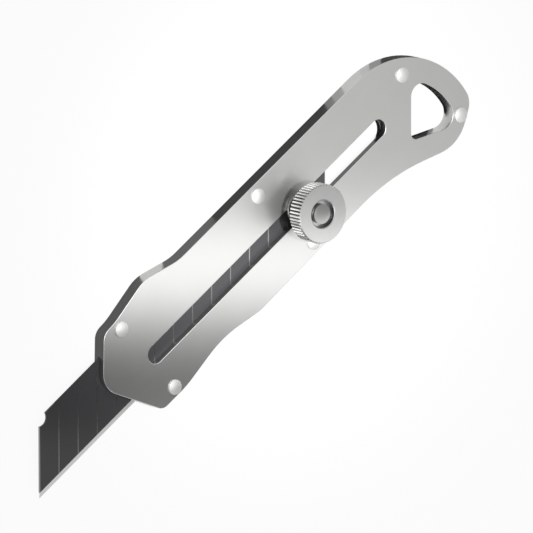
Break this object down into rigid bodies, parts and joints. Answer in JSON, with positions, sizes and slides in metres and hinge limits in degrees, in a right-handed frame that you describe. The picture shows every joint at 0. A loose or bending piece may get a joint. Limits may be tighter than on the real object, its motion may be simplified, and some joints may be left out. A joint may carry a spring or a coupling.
{
  "type": "utility knife",
  "caption": "Snap-off utility knife with a slotted stainless handle, a scored black blade and a knurled knob that slides and clamps it.",
  "frame": {"origin": "middle of the knife's footprint as it lies, on the rear plate's outer face", "axes": "+X from the blade's tip towards the tail, +Y towards the spine, +Z out of the front plate towards the knob"},
  "size_m": [0.1738, 0.0398, 0.015],
  "materials": {
    "satin_stainless": "satin, fine rolled grain",
    "spacer_stainless": "plain rolled strip",
    "rivet_stainless": "cold-headed, lightly polished",
    "black_blade_steel": "black oxide with a bare ground edge",
    "clamp_steel": "turned, bright",
    "nickel_plated_knob": "turned, straight knurled, satin nickel plate"
  },
  "bodies": {
    "handle": {"front_plate": "satin_stainless", "rear_plate": "satin_stainless", "spine_spacer": "spacer_stainless", "belly_spacer": "spacer_stainless", "tail_spacer": "spacer_stainless", "rivet_nose_top": "rivet_stainless", "rivet_nose_bottom": "rivet_stainless", "rivet_middle_top": "rivet_stainless", "rivet_middle_bottom": "rivet_stainless", "rivet_tail_top": "rivet_stainless", "rivet_tail_bottom": "rivet_stainless"},
    "carriage": {"blade": "black_blade_steel", "plate_washer": "clamp_steel"},
    "clamp": {"slide_block": "clamp_steel", "clamp_stud": "clamp_steel"},
    "knob": {"clamp_knob": "nickel_plated_knob"}
  },
  "joints": [
    {"name": "blade_slide", "type": "slide", "parent": "handle", "child": "carriage", "axis": [-1, 0, 0], "range_m": [-0.0282, 0.0601]},
    {"name": "knob_turn", "type": "hinge", "parent": "carriage", "child": "knob", "pos_m": [0.02464, 0.00091, 0.012], "axis": [0, 0, 1], "range_deg": [0, 180]},
    {"name": "clamp_drop", "type": "slide", "parent": "carriage", "child": "clamp", "axis": [0, 0, -1], "range_m": [0, 0.00035]}
  ],
  "couplings": [
    {"joint": "knob_turn", "follows": "clamp_drop", "rad_per_m": 8976}
  ]
}
